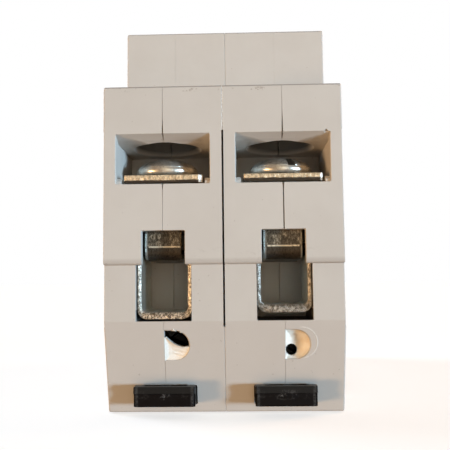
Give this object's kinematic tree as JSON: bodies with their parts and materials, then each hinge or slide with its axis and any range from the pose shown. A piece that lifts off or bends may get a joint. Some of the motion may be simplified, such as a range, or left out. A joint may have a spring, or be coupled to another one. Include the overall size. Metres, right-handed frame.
{
  "type": "miniature circuit breaker",
  "caption": "Rail-mounted miniature circuit breaker with joined toggles, lifting-cage screw terminals at both ends, and sliding clips for a 35 mm rail.",
  "frame": {"origin": "on the rail-side plane, under the middle of the body", "axes": "+Z from the rail side to the nose, +Y from the load end with the rail clips to the line end, +X across the poles"},
  "size_m": [0.0354, 0.085, 0.0701],
  "materials": {
    "housing_plastic": "moulded light grey-beige, fine grain",
    "black_plastic": "moulded black, slightly glossy",
    "dark_plastic": "moulded dark grey",
    "zinc_steel": "bright zinc plating with sheared edges",
    "spring_steel": "drawn spring wire",
    "copper": "bare copper",
    "bimetal": "rolled strip",
    "fibre": "vulcanised fibre cheeks with steel plates",
    "sealant": "set sealing compound"
  },
  "bodies": {
    "housing": {"shell_1_left": "housing_plastic", "shell_1_right": "housing_plastic", "load_strap_1": "zinc_steel", "load_clamp_plate_1": "zinc_steel", "line_strap_1": "zinc_steel", "line_clamp_plate_1": "zinc_steel", "calibration_screw_1": "zinc_steel", "sealant_plug_1": "sealant", "contact_spring_1": "spring_steel", "bimetal_1": "bimetal", "coil_winding_1": "copper", "coil_yoke_1": "zinc_steel", "fixed_contact_1": "copper", "arc_chute_1": "fibre", "shell_2_left": "housing_plastic", "shell_2_right": "housing_plastic", "load_strap_2": "zinc_steel", "load_clamp_plate_2": "zinc_steel", "line_strap_2": "zinc_steel", "line_clamp_plate_2": "zinc_steel", "calibration_screw_2": "zinc_steel", "sealant_plug_2": "sealant", "contact_spring_2": "spring_steel", "bimetal_2": "bimetal", "coil_winding_2": "copper", "coil_yoke_2": "zinc_steel", "fixed_contact_2": "copper", "arc_chute_2": "fibre", "rivet_1": "zinc_steel", "rivet_2": "zinc_steel", "rivet_3": "zinc_steel", "rivet_4": "zinc_steel", "rivet_5": "zinc_steel", "rivet_6": "zinc_steel"},
    "handle": {"toggle_1": "dark_plastic", "toggle_2": "dark_plastic", "handle_tie": "zinc_steel"},
    "trip_bar": {"trip_shaft": "zinc_steel", "trip_lever_1": "dark_plastic", "trip_lever_2": "dark_plastic"},
    "link_1": {"toggle_link_1": "spring_steel"},
    "contact_lever_1": {"contact_carrier_1": "dark_plastic", "contact_arm_1": "copper"},
    "latch_1": {"latch_lever_1": "zinc_steel"},
    "plunger_1": {"plunger_1": "zinc_steel"},
    "rail_clip_1": {"rail_clip_1": "black_plastic"},
    "load_screw_1": {"load_screw_1": "zinc_steel"},
    "load_cage_1": {"load_cage_1": "zinc_steel"},
    "line_screw_1": {"line_screw_1": "zinc_steel"},
    "line_cage_1": {"line_cage_1": "zinc_steel"},
    "link_2": {"toggle_link_2": "spring_steel"},
    "contact_lever_2": {"contact_carrier_2": "dark_plastic", "contact_arm_2": "copper"},
    "latch_2": {"latch_lever_2": "zinc_steel"},
    "plunger_2": {"plunger_2": "zinc_steel"},
    "rail_clip_2": {"rail_clip_2": "black_plastic"},
    "load_screw_2": {"load_screw_2": "zinc_steel"},
    "load_cage_2": {"load_cage_2": "zinc_steel"},
    "line_screw_2": {"line_screw_2": "zinc_steel"},
    "line_cage_2": {"line_cage_2": "zinc_steel"}
  },
  "joints": [
    {"name": "toggle_hinge", "type": "hinge", "parent": "housing", "child": "handle", "pos_m": [0, 0, 0.054], "axis": [1, 0, 0], "range_deg": [0, 72]},
    {"name": "link_pivot_1", "type": "hinge", "parent": "handle", "child": "link_1", "pos_m": [-0.00887, -0.00294, 0.04995], "axis": [1, 0, 0], "range_deg": [-74, 1]},
    {"name": "contact_pivot_1", "type": "hinge", "parent": "housing", "child": "contact_lever_1", "pos_m": [-0.00887, -0.01, 0.034], "axis": [1, 0, 0], "range_deg": [-28.5, 0.5], "deforming": ["contact_spring_1"]},
    {"name": "latch_pivot_1", "type": "hinge", "parent": "contact_lever_1", "child": "latch_1", "pos_m": [-0.00887, -0.0112, 0.0395], "axis": [1, 0, 0], "range_deg": [0, 5], "stiffness_Nm_per_rad": 0.004},
    {"name": "plunger_slide_1", "type": "slide", "parent": "housing", "child": "plunger_1", "axis": [0, -1, 0], "range_m": [0, 0.003], "stiffness_N_per_m": 150},
    {"name": "rail_clip_slide_1", "type": "slide", "parent": "housing", "child": "rail_clip_1", "axis": [0, -1, 0], "range_m": [0, 0.003], "stiffness_N_per_m": 800},
    {"name": "link_pivot_2", "type": "hinge", "parent": "handle", "child": "link_2", "pos_m": [0.00887, -0.00294, 0.04995], "axis": [1, 0, 0], "range_deg": [-74, 1]},
    {"name": "contact_pivot_2", "type": "hinge", "parent": "housing", "child": "contact_lever_2", "pos_m": [0.00887, -0.01, 0.034], "axis": [1, 0, 0], "range_deg": [-28.5, 0.5], "deforming": ["contact_spring_2"]},
    {"name": "latch_pivot_2", "type": "hinge", "parent": "contact_lever_2", "child": "latch_2", "pos_m": [0.00887, -0.0112, 0.0395], "axis": [1, 0, 0], "range_deg": [0, 5], "stiffness_Nm_per_rad": 0.004},
    {"name": "plunger_slide_2", "type": "slide", "parent": "housing", "child": "plunger_2", "axis": [0, -1, 0], "range_m": [0, 0.003], "stiffness_N_per_m": 150},
    {"name": "rail_clip_slide_2", "type": "slide", "parent": "housing", "child": "rail_clip_2", "axis": [0, -1, 0], "range_m": [0, 0.003], "stiffness_N_per_m": 800},
    {"name": "trip_hinge", "type": "hinge", "parent": "housing", "child": "trip_bar", "pos_m": [0, -0.018, 0.0445], "axis": [1, 0, 0], "range_deg": [0, 10], "stiffness_Nm_per_rad": 0.02},
    {"name": "load_screw_turn_1", "type": "hinge", "parent": "housing", "child": "load_screw_1", "pos_m": [-0.00887, -0.0357, 0.036], "axis": [0, 0, -1], "range_deg": [-95, 3065]},
    {"name": "load_cage_slide_1", "type": "slide", "parent": "housing", "child": "load_cage_1", "axis": [0, 0, 1], "range_m": [-0.0002, 0.0068]},
    {"name": "load_screw_turn_2", "type": "hinge", "parent": "housing", "child": "load_screw_2", "pos_m": [0.00887, -0.0357, 0.036], "axis": [0, 0, -1], "range_deg": [-500, 2660]},
    {"name": "load_cage_slide_2", "type": "slide", "parent": "housing", "child": "load_cage_2", "axis": [0, 0, 1], "range_m": [-0.0011, 0.0059]},
    {"name": "line_screw_turn_1", "type": "hinge", "parent": "housing", "child": "line_screw_1", "pos_m": [-0.00887, 0.0357, 0.036], "axis": [0, 0, -1], "range_deg": [-95, 3065]},
    {"name": "line_cage_slide_1", "type": "slide", "parent": "housing", "child": "line_cage_1", "axis": [0, 0, 1], "range_m": [-0.0002, 0.0068]},
    {"name": "line_screw_turn_2", "type": "hinge", "parent": "housing", "child": "line_screw_2", "pos_m": [0.00887, 0.0357, 0.036], "axis": [0, 0, -1], "range_deg": [-95, 3065]},
    {"name": "line_cage_slide_2", "type": "slide", "parent": "housing", "child": "line_cage_2", "axis": [0, 0, 1], "range_m": [-0.0002, 0.0068]}
  ],
  "couplings": [
    {"joint": "link_pivot_1", "follows": "toggle_hinge", "ratio": -1.0026},
    {"joint": "contact_pivot_1", "follows": "toggle_hinge", "ratio": -0.381},
    {"joint": "link_pivot_2", "follows": "toggle_hinge", "ratio": -1.0026},
    {"joint": "contact_pivot_2", "follows": "toggle_hinge", "ratio": -0.381},
    {"joint": "load_screw_turn_1", "follows": "load_cage_slide_1", "rad_per_m": 7854},
    {"joint": "load_screw_turn_2", "follows": "load_cage_slide_2", "rad_per_m": 7854},
    {"joint": "line_screw_turn_1", "follows": "line_cage_slide_1", "rad_per_m": 7854},
    {"joint": "line_screw_turn_2", "follows": "line_cage_slide_2", "rad_per_m": 7854}
  ]
}
